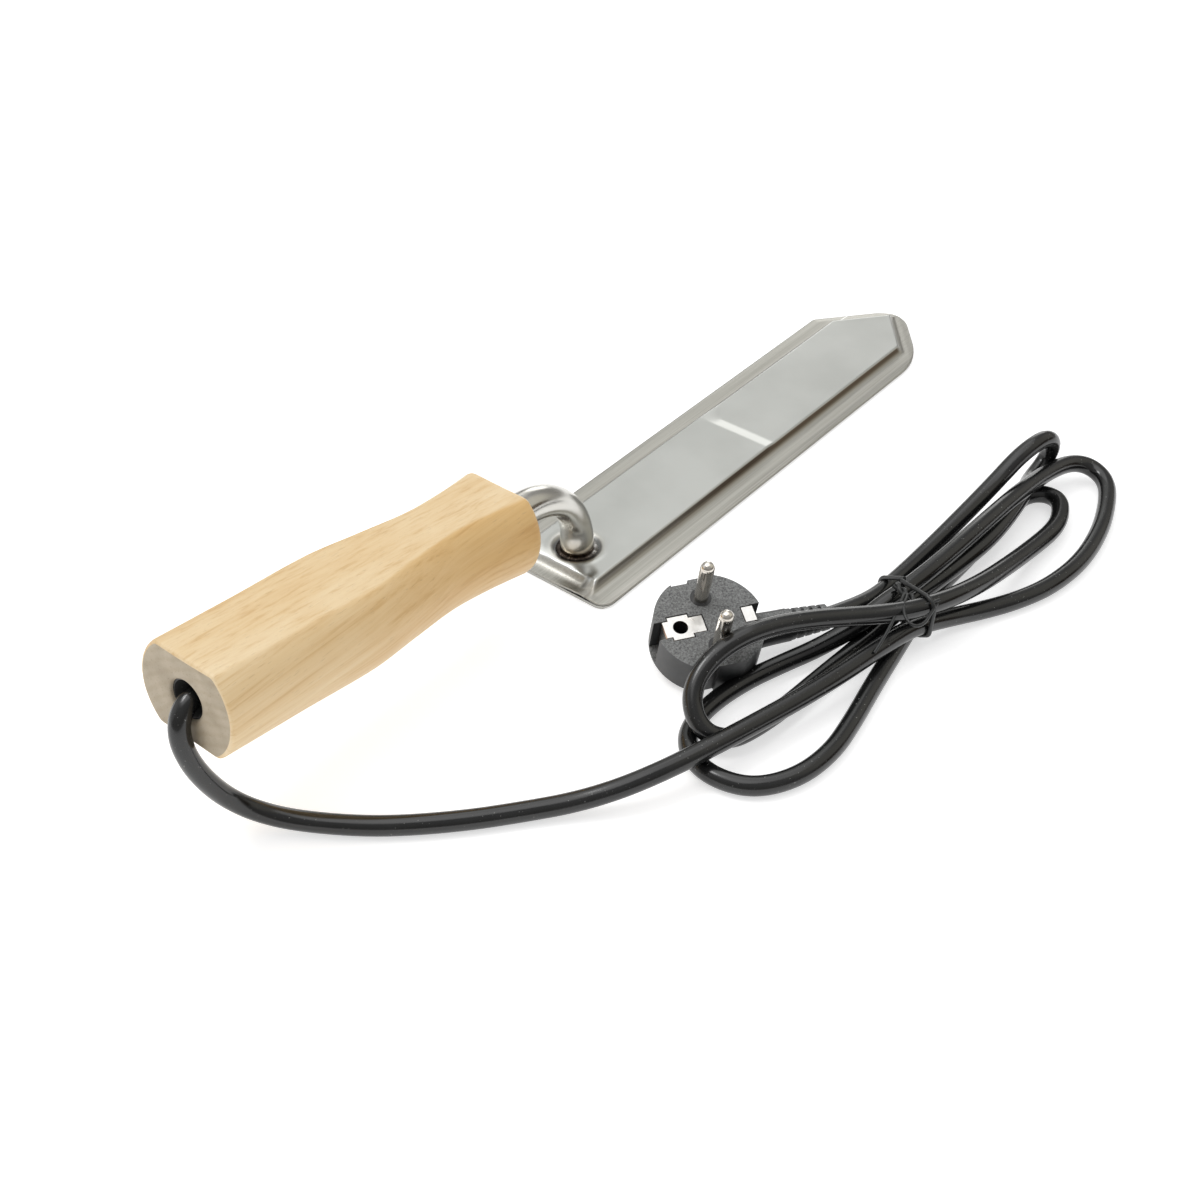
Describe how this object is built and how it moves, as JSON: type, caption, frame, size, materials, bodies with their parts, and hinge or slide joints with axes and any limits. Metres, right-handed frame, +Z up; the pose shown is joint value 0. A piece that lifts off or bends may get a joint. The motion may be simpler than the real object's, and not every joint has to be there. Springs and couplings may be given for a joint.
{
  "type": "electric uncapping knife",
  "caption": "Heated knife: long flat hollow steel blade with a pointed tip, bent tube neck, shaped wooden handle, and a black mains lead tied in a hank with a moulded plug.",
  "frame": {"origin": "middle of the base of the box round the knife itself, without its lead and plug, on the flat underside of the blade", "axes": "+X along the blade to its tip, +Y to the left of that, away from the tied lead, +Z up out of the flat blade"},
  "size_m": [0.3911, 0.1725, 0.0686],
  "materials": {
    "blade_plate": "cold-rolled stainless strip, worn lengthwise brush marks, ground long edges",
    "blade_skin": "pressed stainless sheet, brushed flange, satin raised top, bright corners, fine scratches and small dark specks",
    "weld": "heat-darkened weld ring, rough",
    "neck_steel": "drawn stainless tube, semi-bright, creased on the inside of the bend",
    "mica": "mica sheet, brownish and slightly glossy",
    "heater_metal": "oxidised resistance ribbon",
    "thermostat_case": "ivory heat-resistant case",
    "terminal_brass": "plain brass tags and crimps",
    "wire_brown": "heat-resistant sleeve, brown",
    "wire_blue": "heat-resistant sleeve, blue",
    "wire_green_yellow": "heat-resistant sleeve, green and yellow",
    "tinned_steel": "tinned sheet, plain",
    "handle_wood": "pale sanded hardwood like birch under a thin clear lacquer, faint long grain with fine pores, greyer raw end grain",
    "adhesive": "set adhesive, hidden",
    "bush_plastic": "black moulded bush, satin",
    "cord_pvc": "soft black PVC sheath, satin with long soft highlights",
    "tie_wire": "black coated wire, satin",
    "plug_plastic": "black moulded PVC, fine texture, satin",
    "plug_insert": "hidden moulding that holds the pins",
    "pin_nickel": "nickel-plated brass, lightly scuffed",
    "earth_steel": "bright tinned spring strip"
  },
  "bodies": {
    "root": {"blade_base": "blade_plate", "blade_shell": "blade_skin", "neck_weld": "weld", "gooseneck_tube": "neck_steel", "mica_lower": "mica", "heater_card": "mica", "heater_ribbon": "heater_metal", "mica_upper": "mica", "heater_terminals": "terminal_brass", "thermostat": "thermostat_case", "thermostat_terminals": "terminal_brass", "link_wire": "wire_brown", "wire_live": "wire_brown", "wire_neutral": "wire_blue", "wire_earth": "wire_green_yellow", "earth_lug": "tinned_steel", "cord_cores": "wire_brown", "crimp_splices": "tinned_steel", "wooden_handle": "handle_wood", "tube_bond": "adhesive", "cable_bush": "bush_plastic", "cord_inlet": "cord_pvc", "cord_grip": "tinned_steel", "cord_lead": "cord_pvc", "cord_to_plug": "cord_pvc", "cord_hank": "cord_pvc", "twist_tie": "tie_wire", "plug_body": "plug_plastic", "plug_bridge": "plug_insert", "plug_pins": "pin_nickel", "plug_earth_clip": "earth_steel", "plug_boot": "plug_plastic"}
  },
  "joints": []
}
